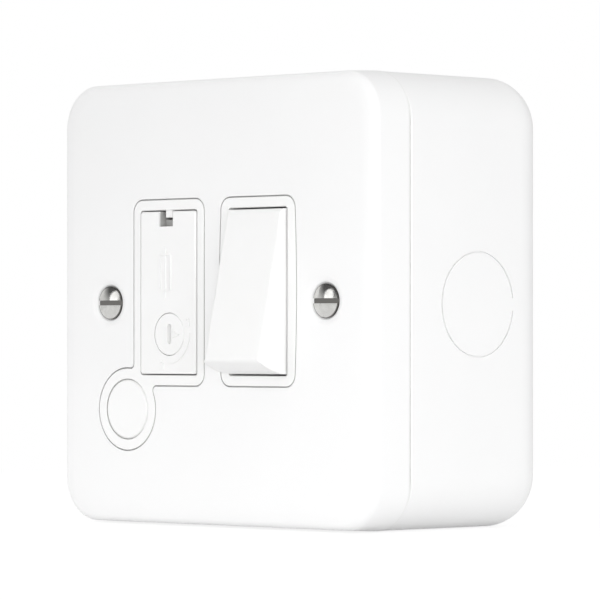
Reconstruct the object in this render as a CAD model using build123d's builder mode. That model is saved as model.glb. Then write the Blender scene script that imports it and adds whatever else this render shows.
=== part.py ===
# Switched fused connection unit with a front flex outlet, on its steel surface box.
# Millimetres. X to the right, Y into the wall, Z up. The origin is the middle of the box's
# back face, which lies on the wall. A depth is measured back from the plate's front face.

import os
from math import cos, radians, sin, sqrt, tan

from build123d import *

os.makedirs("parts", exist_ok=True)

# Steel plate and box
unit_size = 88.0
corner_radius = 9.0
box_corner_radius = 10.2
sheet = 1.2
plate_depth = 9.3
plate_draft = 2.5
box_depth = 40.0
crown_width = 2.5
crown_drop = 0.45
crown_radius = 12.0
shoulder_radius = 1.5
box_back_radius = 8.2
rim_round = 0.3
box_rim_round = 0.8
seam_gap = 0.25
seam_rebate = 0.6

# Plate screws at the standard centres, their dimples and the box lugs
fixing_centres = 60.3
fixing_screw_radius = 1.75
fixing_screw_length = 20.0
fixing_head_radius = 3.3
fixing_head_rise = 0.7
fixing_head_land = 0.4
fixing_head_groove = 0.4
fixing_slot_width = 0.95
fixing_slot_depth = 1.0
dimple_radius = 4.7
dimple_drop = 0.8
dimple_round = 1.6
lug_sheet = 1.6
lug_width = 11.0
lug_reach = 4.0
lug_leg = 7.5
lug_setback = 0.5

# Knockouts and wall fixing holes of the box
knockout_radius = 10.3
knockout_depth = 18.9
knockout_drop = 0.6
score_width = 0.35
score_depth = 0.4
tie_width = 2.4
wall_fixing_centres = 50.8
wall_hole_radius = 2.4

# Bezels, pockets and flex outlet of the front moulding
module_x = -0.25
module_offset = 12.45
module_z = 1.9
pocket_width = 16.1
pocket_height = 32.5
pocket_corner = 0.6
pocket_wall = 2.0
pocket_floor = 19.0
bezel_border = 1.95
bezel_end_border = 2.1
bezel_corner = 2.4
bezel_barrel = 0.5
bezel_proud = 0.1
bezel_gap = 0.2
bezel_round = 0.3
flex_out = 2.0
flex_drop = 4.75
flex_ring_radius = 8.15
flex_hole_radius = 6.0
flex_lip = 0.8
flex_lip_depth = 0.9
flex_blend = 1.0
flex_pad = 2.0
flex_barb = 1.4
flange_thickness = 2.2
flange_margin = 1.4
latch_tab_width = 1.85
latch_tab_drop = 1.4
latch_tab_shift = -0.05
latch_relief = 0.4

# Studs on the plate, body screws and cord grip
stud_radius = 1.5
stud_length = 5.5
stud_x = 16.0
lower_stud_x = 12.0
lower_stud_drop = 2.8
washer_radius = 2.4
washer_thickness = 0.5
boss_radius = 2.8
boss_rise = 2.6
body_screw_radius = 1.4
body_screw_length = 12.0
screw_head_radius = 2.4
screw_head_height = 1.8
screw_slot = 0.7
grip_x = -8.0
grip_drop = 7.65
grip_spacing = 8.8
grip_post_height = 4.0
grip_bar_width = 5.2
grip_bar_thickness = 2.0

# Rear moulding and pillar terminals
rear_floor = 2.4
cell_wall = 1.4
cell_depth = 10.6
terminal_width = 6.2
terminal_height = 7.5
terminal_depth = 7.0
terminal_inset = 6.65
wire_radius = 1.8
clamp_screw_radius = 1.65
off_stop_offset = 9.0

# Rocker and its snap action
pole_offset = 4.2
rocker_pivot_depth = 1.3
rocker_rise = 5.5
rocker_tail = 3.1
rocker_end_width = 15.5
rocker_overrun = 1.2
rocker_side_gap = 0.2
rocker_end_gap = 0.25
rocker_wall = 1.4
rocker_round = 0.8
rocker_tilt = 12.5
trunnion_radius = 1.0
trunnion_reach = 1.0
tube_wall = 0.9
tube_end = 5.7
plunger_radius = 1.55
plunger_reach = 10.05
plunger_seat = 2.3
spring_wire = 0.2
spring_coils = 5

# Contacts
strip = 0.8
contact_width = 4.0
seesaw_pivot_depth = 13.1
seesaw_thickness = 0.9
seesaw_arm = 10.5
seesaw_dish = 14.0
seesaw_tilt = 7.0
ridge_radius = 0.6
rivet_radius = 1.5
rivet_height = 1.2
rivet_offset = 9.0
fixed_contact_depth = 13.2
link_width = 3.0

# Fuse, its clips, carrier and lock
fuse_radius = 3.175
fuse_length = 25.4
fuse_cap_length = 6.2
fuse_cap_wall = 0.35
fuse_depth = 11.5
clip_length = 5.0
clip_grip_gap = 0.12
clip_lip = 1.3
carrier_proud = 0.3
carrier_panel = 3.0
carrier_depth = 17.0
carrier_wall = 1.2
carrier_gap = 0.2
carrier_guide_inset = 2.5
carrier_round = 0.35
saddle_half_width = 4.6
saddle_half_height = 4.3
saddle_wrap = 1.6
notch_left = 2.5
notch_right = 1.5
notch_height = 3.0
notch_depth = 2.0
lock_radius = 4.15
lock_shift = 0.45
lock_rise = 8.05
lock_thickness = 1.0
lock_shank_radius = 2.55
lock_cam_radius = 3.2
lock_cam_thickness = 1.4
lock_slot_width = 1.2
lock_slot_length = 4.0
lock_slot_depth = 0.9

# Earth block in the box
earth_block = 8.0
earth_block_offset = 25.0

# Clearances
running_gap = 0.05
lock_gap = 0.12
blank_gap = 0.12
seat_gap = 0.05
slot_gap = 0.2
pick_gap = 0.01

# Places that follow from the sizes above
total_depth = plate_depth + box_depth
half_size = unit_size / 2
inner_half = half_size - sheet
fuse_x = module_x - module_offset
switch_x = module_x + module_offset
pole_xs = {"live": switch_x - pole_offset, "neutral": switch_x + pole_offset}
block_half_width = module_offset + pocket_width / 2 + pocket_wall
block_top = module_z + pocket_height / 2 + pocket_wall
block_bottom = module_z - pocket_height / 2 - pocket_wall
flex_x = fuse_x - pocket_width / 2 - bezel_border - flex_out
flex_z = module_z - pocket_height / 2 - bezel_end_border - flex_drop
flange_rear = sheet + flange_thickness
flange_half_width = block_half_width + flange_margin
stud_rise = strip + washer_radius + 2 * slot_gap
flange_top = block_top + stud_rise + washer_radius + slot_gap
flange_bottom = flex_z - flex_ring_radius - flex_pad
boss_places = [(0, block_top + boss_rise), (0, block_bottom - boss_rise)]
stud_places = [
    (-stud_x, block_top + stud_rise),
    (stud_x, block_top + stud_rise),
    (lower_stud_x, flex_z - lower_stud_drop),
]
grip_z = block_bottom - grip_drop
grip_places = [(grip_x, grip_z + grip_spacing / 2), (grip_x, grip_z - grip_spacing / 2)]
floor_rear = pocket_floor + rear_floor
strip_rear = floor_rear + strip
cell_width = 2 * pole_offset - cell_wall
earth_x = -stud_x
fused_x = earth_x + cell_width + cell_wall
supply_z = block_top - terminal_inset
load_z = block_bottom + terminal_inset
terminal_places = {
    "live_supply_terminal": (pole_xs["live"], supply_z),
    "neutral_supply_terminal": (pole_xs["neutral"], supply_z),
    "earth_supply_terminal": (earth_x, supply_z),
    "live_load_terminal": (fused_x, load_z),
    "neutral_load_terminal": (pole_xs["neutral"], load_z),
    "earth_load_terminal": (earth_x, load_z),
}
clip_offset = (fuse_length - fuse_cap_length) / 2
clip_half = fuse_radius + clip_grip_gap
clip_tail_x = (fuse_x + clip_half - strip - slot_gap, fuse_x + clip_half + strip)
lock_place = (fuse_x + lock_shift, module_z - pocket_height / 2 + lock_rise)


def face_plane(depth):
    return Plane(origin=(0, depth - total_depth, 0), x_dir=(1, 0, 0), z_dir=(0, -1, 0))


def side_plane(x, depth=0.0, z=0.0, tilt=0.0):
    # Local x runs into the wall and local y up; a positive tilt leans the top forward.
    lean = radians(tilt)
    return Plane(
        origin=(x, depth - total_depth, z), x_dir=(0, cos(lean), sin(lean)), z_dir=(1, 0, 0)
    )


def top_plane(x, z):
    return Plane(origin=(x, -total_depth, z), x_dir=(1, 0, 0), z_dir=(0, 0, 1))


def depth_axis(x, z):
    return Axis((x, 0, z), (0, 1, 0))


def slab(x_span, depth_span, z_span, mode=Mode.ADD):
    spans = (x_span, [depth - total_depth for depth in depth_span], z_span)
    with Locations(tuple(sum(span) / 2 for span in spans)):
        Box(*[max(span) - min(span) for span in spans], mode=mode)


def rod(places, radius, depth_span, mode=Mode.ADD):
    # Round bar or hole along the depth at each (x, z) place.
    near, far = depth_span
    with BuildSketch(face_plane(near)) as section:
        with Locations(*places):
            Circle(radius)
    extrude(section.sketch, amount=near - far, mode=mode)


def slotted_screw(head_radius, head_height, shank_radius, shank_length, slot_width):
    # Cheese-head screw: the head's seat is at the origin and the shank points along -Z.
    with BuildPart() as screw:
        Cylinder(shank_radius, shank_length, align=(Align.CENTER, Align.CENTER, Align.MAX))
        Cylinder(head_radius, head_height, align=(Align.CENTER, Align.CENTER, Align.MIN))
        fillet(screw.edges().group_by(Axis.Z)[-1], head_height / 4)
        with Locations((0, 0, head_height)):
            Box(3 * head_radius, slot_width, head_height, mode=Mode.SUBTRACT)
    return screw.part


def rearward(x, depth, z):
    # Frame whose +Z points into the wall, for screws driven from behind.
    return Plane(origin=(x, depth - total_depth, z), x_dir=(1, 0, 0), z_dir=(0, 1, 0)).location


def bent_strip(plane, points, side, width, thickness):
    # Sheet strip that follows points on one of its faces, centred on the plane.
    with BuildPart() as piece:
        with BuildSketch(plane):
            with BuildLine():
                Polyline(*points)
                offset(amount=thickness, side=side, kind=Kind.INTERSECTION)
            make_face()
        extrude(amount=width / 2, both=True)
    return piece.part


def barrel(waist, end, half_height):
    # Upright rectangle whose long sides bow out from the ends to the waist.
    with BuildSketch() as shape:
        with BuildLine():
            right = ThreePointArc((end, -half_height), (waist, 0), (end, half_height))
            left = ThreePointArc((-end, half_height), (-waist, 0), (-end, -half_height))
            Line(right @ 1, left @ 0)
            Line(left @ 1, right @ 0)
        make_face()
    return shape.sketch


# Front plate: pressed tray with a drafted skirt and a wide crowned edge


def pressed_tray(inset, near):
    with BuildPart() as tray:
        with BuildSketch(face_plane(plate_depth)):
            width = unit_size - 2 * inset
            RectangleRounded(width, width, corner_radius - inset)
        extrude(amount=plate_depth - near, taper=plate_draft)
        face = tray.faces().sort_by(Axis.Y)[0]
        chamfer(face.outer_wire().edges(), length=crown_width, length2=crown_drop, reference=face)
        face = tray.faces().sort_by(Axis.Y)[0]
        fillet(face.outer_wire().edges(), crown_radius)
        shoulder = near + crown_drop - total_depth
        edges = tray.edges().filter_by_position(Axis.Y, shoulder - pick_gap, shoulder + pick_gap)
        fillet(edges, shoulder_radius)
    return tray.part


def bezel_outlines(margin):
    # Fuse bezel with its flex ring, and the barrel-sided switch bezel, grown by a margin.
    half_width = pocket_width / 2 + bezel_border + margin
    half_height = pocket_height / 2 + bezel_end_border + margin
    ring_radius = flex_ring_radius + margin
    with BuildSketch() as fuse_bezel:
        with Locations((fuse_x, module_z)):
            RectangleRounded(2 * half_width, 2 * half_height, bezel_corner + margin)
        with Locations((flex_x, flex_z)):
            Circle(ring_radius)
        centre = Vector(flex_x, flex_z)
        on_ring = fuse_bezel.vertices().filter_by(
            lambda corner: abs((Vector(corner) - centre).length - ring_radius) < pick_gap
        )
        fillet(on_ring.sort_by(Axis.Y)[-2:], flex_blend - margin)
    with BuildSketch() as switch_bezel:
        with Locations((switch_x, module_z)):
            add(barrel(half_width + bezel_barrel, half_width, half_height))
        fillet(switch_bezel.vertices(), bezel_corner + margin)
    return [fuse_bezel.sketch, switch_bezel.sketch]


fixing_places = [(-fixing_centres / 2, 0), (fixing_centres / 2, 0)]
fixing_hole_radius = fixing_screw_radius + 2 * seat_gap
cone_top_radius = fixing_head_radius + seat_gap
cone_end = dimple_drop + cone_top_radius - fixing_hole_radius

with BuildPart() as front_plate:
    add(pressed_tray(0, 0))
    add(pressed_tray(sheet, sheet), mode=Mode.SUBTRACT)
    fillet(front_plate.faces().sort_by(Axis.Y)[-1].outer_wire().edges(), rim_round)
    for x, z in fixing_places:
        with BuildSketch(top_plane(x, z)):
            Polygon(
                (0, sheet / 2),
                (dimple_radius + sheet, sheet / 2),
                (dimple_radius + sheet, sheet),
                (fixing_hole_radius + sheet, cone_end + sheet / 3),
                (0, cone_end + sheet / 3),
                align=None,
            )
        revolve(axis=depth_axis(x, z))
    for x, z in fixing_places:
        with BuildSketch(top_plane(x, z)):
            Polygon(
                (0, -sheet),
                (dimple_radius, -sheet),
                (dimple_radius, 0),
                (cone_top_radius + fixing_head_groove, dimple_drop - fixing_head_groove),
                (fixing_hole_radius, cone_end),
                (fixing_hole_radius, cone_end + sheet),
                (0, cone_end + sheet),
                align=None,
            )
        revolve(axis=depth_axis(x, z), mode=Mode.SUBTRACT)
    front_face = front_plate.faces().sort_by(Axis.Y)[0]
    for hole in front_face.inner_wires():
        fillet(hole.edges(), dimple_round)
    for outline in bezel_outlines(bezel_gap):
        with BuildSketch(face_plane(-sheet)):
            add(outline)
        extrude(amount=-3 * sheet, mode=Mode.SUBTRACT)
    rod(stud_places, stud_radius, (sheet, sheet + stud_length))
front_plate.part.label = "front_plate"
export_step(front_plate.part, "parts/front_plate.step")

# Raised countersunk plate screws
land_top = dimple_drop - fixing_head_land
head_top = land_top - fixing_head_rise
dome_radius = (fixing_head_radius**2 + fixing_head_rise**2) / (2 * fixing_head_rise)
dome_mid = fixing_head_radius / 2
dome_mid_depth = head_top + dome_radius - sqrt(dome_radius**2 - dome_mid**2)
screw_tip = dimple_drop + fixing_screw_length

with BuildPart() as plate_screws:
    for x, z in fixing_places:
        with BuildSketch(top_plane(x, z)):
            with BuildLine():
                dome = ThreePointArc(
                    (0, head_top), (dome_mid, dome_mid_depth), (fixing_head_radius, land_top)
                )
                Polyline(
                    dome @ 1,
                    (fixing_head_radius, dimple_drop),
                    (fixing_screw_radius, dimple_drop + fixing_head_radius - fixing_screw_radius),
                    (fixing_screw_radius, screw_tip - fixing_screw_radius / 2),
                    (fixing_screw_radius / 2, screw_tip),
                    (0, screw_tip),
                    dome @ 0,
                )
            make_face()
        revolve(axis=depth_axis(x, z))
        slab(
            (x - 2 * fixing_head_radius, x + 2 * fixing_head_radius),
            (head_top - sheet, head_top + fixing_slot_depth),
            (z - fixing_slot_width / 2, z + fixing_slot_width / 2),
            Mode.SUBTRACT,
        )
plate_screws.part.label = "plate_screws"
export_step(plate_screws.part, "parts/plate_screws.step")

# Back box: deep-drawn tub with scored knockouts


def drawn_tub(inset, near, far):
    with BuildPart() as tub:
        with BuildSketch(face_plane(near)):
            width = unit_size - 2 * inset
            RectangleRounded(width, width, box_corner_radius - inset)
        extrude(amount=near - far)
        fillet(tub.faces().sort_by(Axis.Y)[-1].outer_wire().edges(), box_back_radius - inset)
    return tub.part


knockout_y = knockout_depth - box_depth
knockout_planes = [
    Plane(origin=(half_size, knockout_y, -knockout_drop), x_dir=(0, 1, 0), z_dir=(1, 0, 0)),
    Plane(origin=(-half_size, knockout_y, -knockout_drop), x_dir=(0, 1, 0), z_dir=(-1, 0, 0)),
    Plane(origin=(0, knockout_y, half_size), x_dir=(0, 1, 0), z_dir=(0, 0, 1)),
    Plane(origin=(0, knockout_y, -half_size), x_dir=(0, 1, 0), z_dir=(0, 0, -1)),
    Plane(origin=(0, 0, 0), x_dir=(1, 0, 0), z_dir=(0, 1, 0)),
]

with BuildPart() as back_box:
    add(drawn_tub(0, plate_depth, total_depth))
    add(drawn_tub(sheet, plate_depth - sheet, total_depth - sheet), mode=Mode.SUBTRACT)
    fillet(back_box.faces().sort_by(Axis.Y)[0].outer_wire().edges(), box_rim_round)
    with BuildSketch(face_plane(plate_depth)):
        Rectangle(2 * unit_size, 2 * unit_size)
        seat_width = unit_size - 2 * seam_rebate
        RectangleRounded(seat_width, seat_width, box_corner_radius - seam_rebate, mode=Mode.SUBTRACT)
    extrude(amount=-seam_gap, mode=Mode.SUBTRACT)
    for plane in knockout_planes:
        with BuildSketch(plane) as score:
            Circle(knockout_radius)
            Circle(knockout_radius - score_width, mode=Mode.SUBTRACT)
            with Locations((knockout_radius, 0)):
                Rectangle(tie_width, tie_width, mode=Mode.SUBTRACT)
        extrude(score.sketch, amount=-score_depth, mode=Mode.SUBTRACT)
    wall_places = [(-wall_fixing_centres / 2, 0), (wall_fixing_centres / 2, 0)]
    rod(wall_places, wall_hole_radius, (total_depth - 2 * sheet, total_depth + sheet), Mode.SUBTRACT)
back_box.part.label = "back_box"
export_step(back_box.part, "parts/back_box.step")

# Angle lugs welded inside the box walls
lug_front = plate_depth + lug_setback
lug_points = [
    (fixing_centres / 2 - lug_reach, lug_front),
    (inner_half, lug_front),
    (inner_half, lug_front + lug_leg),
]

with BuildPart() as right_lug:
    add(bent_strip(top_plane(0, 0), lug_points, Side.LEFT, lug_width, lug_sheet))
    inner_end = right_lug.faces().sort_by(Axis.X)[0]
    fillet(inner_end.edges().filter_by(Axis.Y), lug_reach / 2)
    lug_span = (lug_front - lug_sheet, lug_front + 2 * lug_sheet)
    rod([fixing_places[1]], fixing_screw_radius + seat_gap, lug_span, Mode.SUBTRACT)
right_lug.part.label = "right_lug"
export_step(right_lug.part, "parts/right_lug.step")

with BuildPart() as left_lug:
    add(mirror(right_lug.part, about=Plane.YZ, mode=Mode.PRIVATE))
left_lug.part.label = "left_lug"
export_step(left_lug.part, "parts/left_lug.step")

# Front moulding: flange, proud bezels, pocket block, bosses and posts
tab_top = module_z + pocket_height / 2
grip_rear = flange_rear + grip_post_height
screw_grip = pocket_floor - body_screw_length + rear_floor

with BuildPart() as front_moulding:
    with BuildSketch(face_plane(sheet)):
        with Locations((0, (flange_top + flange_bottom) / 2)):
            RectangleRounded(2 * flange_half_width, flange_top - flange_bottom, bezel_corner)
        with Locations((flex_x, flex_z)):
            Circle(flex_ring_radius + flex_pad)
    extrude(amount=-flange_thickness)
    for outline in bezel_outlines(0):
        with BuildSketch(face_plane(-bezel_proud)):
            add(outline)
        extrude(amount=-(bezel_proud + sheet))
    with BuildSketch(face_plane(flange_rear)):
        with Locations((0, (block_top + block_bottom) / 2)):
            Rectangle(2 * block_half_width, block_top - block_bottom)
        with Locations(*boss_places):
            Circle(boss_radius)
    extrude(amount=flange_rear - pocket_floor)
    with BuildSketch(face_plane(-bezel_proud)):
        with Locations((fuse_x, module_z), (switch_x, module_z)):
            RectangleRounded(pocket_width, pocket_height, pocket_corner)
    extrude(amount=-(bezel_proud + pocket_floor), mode=Mode.SUBTRACT)
    rod([(flex_x, flex_z)], flex_hole_radius, (-bezel_proud, flex_lip_depth), Mode.SUBTRACT)
    bezel_faces = front_moulding.faces().filter_by(Axis.Y).group_by(Axis.Y)[0]
    fillet(bezel_faces.edges(), bezel_round)
    rod([(flex_x, flex_z)], flex_hole_radius - flex_lip, (0, 2 * flange_rear), Mode.SUBTRACT)
    core_half = module_offset - pocket_width / 2 - pocket_wall
    core_depth = (flange_rear + flange_thickness, pocket_floor)
    core_z = (block_bottom + pocket_wall, block_top - pocket_wall)
    slab((-core_half, core_half), core_depth, core_z, Mode.SUBTRACT)
    slab(
        (
            fuse_x + latch_tab_shift - latch_tab_width / 2,
            fuse_x + latch_tab_shift + latch_tab_width / 2,
        ),
        (bezel_round - bezel_proud, flange_rear),
        (tab_top - latch_tab_drop, tab_top + pocket_wall),
    )
    with Locations((switch_x, rocker_pivot_depth - total_depth, module_z)):
        Cylinder(
            trunnion_radius + running_gap,
            pocket_width + 2 * (trunnion_reach + slot_gap),
            rotation=(0, 90, 0),
            mode=Mode.SUBTRACT,
        )
    rod(grip_places, grip_bar_width / 2, (flange_rear, grip_rear))
    pilot_span = (flange_rear, grip_rear)
    rod(grip_places, body_screw_radius + seat_gap, pilot_span, Mode.SUBTRACT)
    pilot_span = (screw_grip - slot_gap, pocket_floor)
    rod(boss_places, body_screw_radius + seat_gap, pilot_span, Mode.SUBTRACT)
    rod(stud_places, stud_radius + seat_gap, (0, flange_rear), Mode.SUBTRACT)
front_moulding.part.label = "front_moulding"
export_step(front_moulding.part, "parts/front_moulding.step")

# Push-on washers; the first stud also takes the foot of the earth strap
with BuildPart() as stud_washers:
    for number, place in enumerate(stud_places):
        near = flange_rear + (strip if number == 0 else 0)
        rod([place], washer_radius, (near, near + washer_thickness))
    stud_reach = (0, flange_rear + stud_length)
    rod(stud_places, stud_radius + seat_gap, stud_reach, Mode.SUBTRACT)
stud_washers.part.label = "stud_washers"
export_step(stud_washers.part, "parts/stud_washers.step")

# Blank that closes the flex outlet: disc on the lip, snap skirt behind
blank_radius = flex_hole_radius - blank_gap
skirt_radius = flex_hole_radius - flex_lip - 2 * running_gap
skirt_end = flange_rear + flex_barb
barb_depth = flange_rear + running_gap

with BuildPart() as flex_outlet_blank:
    with BuildSketch(top_plane(flex_x, flex_z)):
        Polygon(
            (0, -bezel_proud),
            (blank_radius - bezel_round, -bezel_proud),
            (blank_radius, bezel_round - bezel_proud),
            (blank_radius, flex_lip_depth),
            (skirt_radius, flex_lip_depth),
            (skirt_radius, barb_depth),
            (skirt_radius + flex_lip / 3, barb_depth),
            (skirt_radius - flex_lip / 3, skirt_end),
            (skirt_radius - sheet, skirt_end),
            (skirt_radius - sheet, flex_lip_depth),
            (0, flex_lip_depth),
            align=None,
        )
    revolve(axis=depth_axis(flex_x, flex_z))
flex_outlet_blank.part.label = "flex_outlet_blank"
export_step(flex_outlet_blank.part, "parts/flex_outlet_blank.step")

# Cord grip: rounded bar with a biting ridge, and its two screws
bar_rear = grip_rear + grip_bar_thickness

with BuildPart() as cord_grip_bar:
    with BuildSketch(face_plane(grip_rear)):
        with Locations((grip_x, grip_z)):
            SlotOverall(grip_spacing + grip_bar_width, grip_bar_width, rotation=90)
    extrude(amount=-grip_bar_thickness)
    ridge_span = (grip_rear - grip_bar_thickness / 2, grip_rear)
    slab((grip_x - strip, grip_x + strip), ridge_span, (grip_z - strip, grip_z + strip))
    rod(grip_places, body_screw_radius + 2 * seat_gap, (flange_rear, bar_rear), Mode.SUBTRACT)
cord_grip_bar.part.label = "cord_grip_bar"
export_step(cord_grip_bar.part, "parts/cord_grip_bar.step")

grip_screw = slotted_screw(
    screw_head_radius,
    screw_head_height,
    body_screw_radius,
    grip_bar_thickness + grip_post_height - slot_gap,
    screw_slot,
)
with BuildPart() as cord_grip_screws:
    with Locations(*[rearward(x, bar_rear, z) for x, z in grip_places]):
        add(grip_screw)
cord_grip_screws.part.label = "cord_grip_screws"
export_step(cord_grip_screws.part, "parts/cord_grip_screws.step")

# Rear moulding: floor with ears, open-ended terminal cells and the stop of the see-saws
cell_end = terminal_height / 2 + slot_gap
fixed_leg_z = module_z + rivet_offset + 2 * rivet_radius + strip
tail_offset = 3 * strip
clip_tails = [
    module_z + clip_offset - clip_length / 2 - strip,
    module_z - clip_offset - clip_length / 2 - strip,
]
strap_half = contact_width / 2
stop_top = seesaw_pivot_depth - ridge_radius - seesaw_thickness
neutral_span = (
    pole_xs["neutral"] - contact_width / 2 - slot_gap,
    pole_xs["neutral"] + contact_width / 2 + slot_gap,
)

with BuildPart() as rear_moulding:
    with BuildSketch(face_plane(pocket_floor)):
        with Locations((0, (block_top + block_bottom) / 2)):
            Rectangle(2 * block_half_width, block_top - block_bottom)
        with Locations(*boss_places):
            Circle(boss_radius)
    extrude(amount=-rear_floor)
    with BuildSketch(face_plane(floor_rear)) as cells:
        for x, z in terminal_places.values():
            outer = block_top if z > module_z else block_bottom
            inner = z - cell_end if z > module_z else z + cell_end
            back = inner - cell_wall if z > module_z else inner + cell_wall
            with Locations((x, (outer + back) / 2)):
                Rectangle(cell_width + 2 * cell_wall, abs(outer - back))
        for x, z in terminal_places.values():
            outer = block_top if z > module_z else block_bottom
            inner = z - cell_end if z > module_z else z + cell_end
            with Locations((x, (outer + inner) / 2)):
                Rectangle(cell_width, abs(outer - inner), mode=Mode.SUBTRACT)
    extrude(amount=-cell_depth)
    channel = (floor_rear, strip_rear + slot_gap)
    slab((earth_x - strap_half - slot_gap, earth_x + strap_half + slot_gap), channel,
         (block_bottom, block_top), Mode.SUBTRACT)
    slab(neutral_span, channel, (load_z, module_z), Mode.SUBTRACT)
    slot_span = (pocket_floor - strip, floor_rear + strip)
    for x in pole_xs.values():
        pole_span = (x - contact_width / 2 - slot_gap, x + contact_width / 2 + slot_gap)
        leg_span = (fixed_leg_z - strip - slot_gap, fixed_leg_z + slot_gap)
        slab(pole_span, slot_span, leg_span, Mode.SUBTRACT)
    for x, way in ((pole_xs["live"], 1), (pole_xs["neutral"], -1)):
        pole_span = (x - contact_width / 2 - slot_gap, x + contact_width / 2 + slot_gap)
        tail_z = module_z + way * (tail_offset + strip / 2)
        tail_span = (tail_z - strip / 2 - slot_gap, tail_z + strip / 2 + slot_gap)
        slab(pole_span, slot_span, tail_span, Mode.SUBTRACT)
    for z in clip_tails:
        tail_span = (clip_tail_x[0] - slot_gap, clip_tail_x[1] + slot_gap)
        slab(tail_span, slot_span, (z - slot_gap, z + strip + slot_gap), Mode.SUBTRACT)
    slab(
        (pole_xs["live"] - contact_width / 2, pole_xs["neutral"] + contact_width / 2),
        (stop_top, pocket_floor),
        (module_z - off_stop_offset - strip, module_z - off_stop_offset + strip),
    )
    ear_span = (pocket_floor, floor_rear)
    rod(boss_places, body_screw_radius + 2 * seat_gap, ear_span, Mode.SUBTRACT)
rear_moulding.part.label = "rear_moulding"
export_step(rear_moulding.part, "parts/rear_moulding.step")

body_screw = slotted_screw(
    screw_head_radius, screw_head_height, body_screw_radius, body_screw_length, screw_slot
)
with BuildPart() as body_screws:
    with Locations(*[rearward(x, floor_rear, z) for x, z in boss_places]):
        add(body_screw)
body_screws.part.label = "body_screws"
export_step(body_screws.part, "parts/body_screws.step")

# Rocker, shown off with its top pressed in: flat face, ends swept about the pivot
rocker_reach = pocket_height / 2 - rocker_end_gap
rocker_mid_width = pocket_width - 2 * rocker_side_gap
rocker_bow = (rocker_mid_width - rocker_end_width) / 2
rocker_lean = radians(rocker_tilt)
rocker_pivot = (switch_x, rocker_pivot_depth - total_depth, module_z)
rocker_inward = (0, cos(rocker_lean), -sin(rocker_lean))
rocker_axis_plane = Plane(origin=rocker_pivot, x_dir=(1, 0, 0), z_dir=rocker_inward)
trunnion_root = (rocker_mid_width - rocker_wall) / 2
trunnion_end = pocket_width / 2 + trunnion_reach


def rocker_body(inset, tail):
    reach = rocker_reach - inset
    front = inset - rocker_rise
    middle = (front + tail) / 2
    with BuildPart() as body:
        with BuildSketch(side_plane(switch_x, rocker_pivot_depth, module_z, -rocker_tilt)):
            with BuildLine():
                upper = ThreePointArc(
                    (front, sqrt(reach**2 - front**2)),
                    (middle, sqrt(reach**2 - middle**2)),
                    (tail, sqrt(reach**2 - tail**2)),
                )
                lower = ThreePointArc(
                    (tail, -sqrt(reach**2 - tail**2)),
                    (middle, -sqrt(reach**2 - middle**2)),
                    (front, -sqrt(reach**2 - front**2)),
                )
                Line(upper @ 1, lower @ 0)
                Line(lower @ 1, upper @ 0)
            make_face()
        extrude(amount=rocker_mid_width, both=True)
        with BuildSketch(rocker_axis_plane):
            waist = rocker_mid_width / 2 - inset
            add(barrel(waist, waist - rocker_bow * rocker_overrun**2, rocker_overrun * rocker_reach))
        extrude(amount=2 * rocker_reach, both=True, mode=Mode.INTERSECT)
    return body.part


with BuildPart() as rocker:
    add(rocker_body(0, rocker_tail))
    outer_face = rocker.faces().filter_by(GeomType.PLANE).sort_by(Axis(rocker_pivot, rocker_inward))[0]
    fillet(outer_face.outer_wire().edges(), rocker_round)
    add(rocker_body(rocker_wall, rocker_tail + rocker_wall), mode=Mode.SUBTRACT)
    for way in (-1, 1):
        trunnion_plane = Plane(origin=rocker_pivot, x_dir=(0, 0, 1), z_dir=(way, 0, 0))
        with BuildSketch(trunnion_plane.offset(trunnion_root)):
            Circle(trunnion_radius)
        extrude(amount=trunnion_end - trunnion_root)
    with BuildSketch(rocker_axis_plane.offset(rocker_wall / 2 - rocker_rise)):
        with Locations((-pole_offset, 0), (pole_offset, 0)):
            Circle(plunger_radius + tube_wall + running_gap)
    extrude(amount=tube_end + rocker_rise - rocker_wall / 2)
    with BuildSketch(rocker_axis_plane.offset(rocker_wall - rocker_rise)):
        with Locations((-pole_offset, 0), (pole_offset, 0)):
            Circle(plunger_radius + running_gap)
    extrude(amount=tube_end + rocker_rise, mode=Mode.SUBTRACT)
rocker.part.label = "rocker"
export_step(rocker.part, "parts/rocker.step")

# Round-nosed plungers in the rocker's tubes, and the springs behind them
with BuildPart() as plungers:
    with BuildSketch(rocker_axis_plane.offset(plunger_seat)):
        with Locations((-pole_offset, 0), (pole_offset, 0)):
            Circle(plunger_radius)
    extrude(amount=plunger_reach - plunger_seat)
    noses = plungers.edges().group_by(Axis(rocker_pivot, rocker_inward))[-1]
    fillet(noses, plunger_radius - running_gap)
plungers.part.label = "plungers"
export_step(plungers.part, "parts/plungers.step")

spring_front = rocker_wall - rocker_rise + spring_wire + running_gap
spring_height = plunger_seat - spring_front - spring_wire - running_gap
spring_radius = plunger_radius - spring_wire - running_gap
coil_path = Helix(pitch=spring_height / spring_coils, height=spring_height, radius=spring_radius)

with BuildPart() as coil:
    with BuildSketch(Plane(origin=coil_path @ 0, x_dir=(1, 0, 0), z_dir=coil_path % 0)):
        Circle(spring_wire)
    sweep(path=coil_path, is_frenet=True)

with BuildPart() as plunger_springs:
    for way in (-1, 1):
        spring_place = Plane(
            origin=rocker_axis_plane.from_local_coords((way * pole_offset, 0, spring_front)),
            x_dir=(1, 0, 0),
            z_dir=rocker_inward,
        )
        with Locations(spring_place.location):
            add(coil.part)
plunger_springs.part.label = "plunger_springs"
export_step(plunger_springs.part, "parts/plunger_springs.step")

# See-saw contacts, dished towards the rocker, on the brackets' knife edges
groove_radius = ridge_radius + running_gap
dish = tan(radians(seesaw_dish))
seesaw_front = -(groove_radius + seesaw_thickness)

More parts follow.
